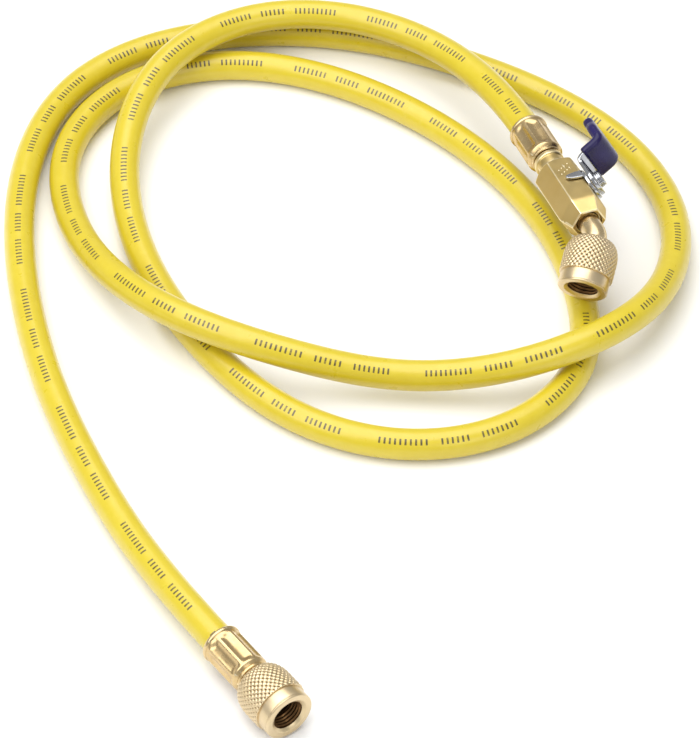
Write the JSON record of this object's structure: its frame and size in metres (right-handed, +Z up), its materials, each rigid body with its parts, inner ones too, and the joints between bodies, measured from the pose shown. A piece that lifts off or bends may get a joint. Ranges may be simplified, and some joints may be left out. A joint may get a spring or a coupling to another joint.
{
  "type": "refrigerant charging hose",
  "caption": "Yellow flexible refrigerant hose lying in loose loops, with a knurled brass swivel nut on one end and a lever ball valve with a bent swivel outlet on the other.",
  "frame": {"origin": "on the floor, under the middle of the box round the fittings at both ends", "axes": "+Z up from the floor, -Y towards the plain end, +X towards the valve end's side"},
  "size_m": [0.2594, 0.3702, 0.0453],
  "materials": {
    "hose_cover": "satin yellow rubber cover with a dark lay line",
    "brass": "bright machined brass",
    "brass_nut": "bright brass with diamond knurling",
    "brass_body": "forged and machined brass hexagon, satin",
    "ball_plating": "plated ball",
    "lever_plating": "bright plated pressed steel",
    "grip_vinyl": "glossy dark blue dipped vinyl",
    "seal": "matt black rubber"
  },
  "bodies": {
    "hose_assembly": {"hose": "hose_cover", "ferrule_plain_end": "brass", "stem_plain_end": "brass", "gasket_plain_end": "seal", "ferrule_valve_end": "brass", "valve_body": "brass_body", "packing_nut": "brass", "stop_plate": "lever_plating", "outlet_stem": "brass", "gasket_valve_end": "seal", "depressor": "brass"},
    "plain_nut": {"nut_plain_end": "brass_nut"},
    "valve_nut": {"nut_valve_end": "brass_nut"},
    "valve_handle": {"valve_ball": "ball_plating", "valve_spindle": "brass", "handle_lever": "lever_plating", "handle_grip": "grip_vinyl", "handle_screw": "lever_plating"}
  },
  "joints": [
    {"name": "plain_nut_swivel", "type": "hinge", "parent": "hose_assembly", "child": "plain_nut", "pos_m": [-0.05188, -0.13028, 0.0101], "axis": [0.5878, -0.809, 0], "continuous": true},
    {"name": "valve_nut_swivel", "type": "hinge", "parent": "hose_assembly", "child": "valve_nut", "pos_m": [0.06215, 0.06636, 0.02448], "axis": [-0.2548, -0.881, -0.3987], "continuous": true},
    {"name": "valve_handle_turn", "type": "hinge", "parent": "hose_assembly", "child": "valve_handle", "pos_m": [0.05736, 0.09911, 0.02759], "axis": [0.8004, 0.3331, 0.4985], "range_deg": [0, 90]}
  ]
}
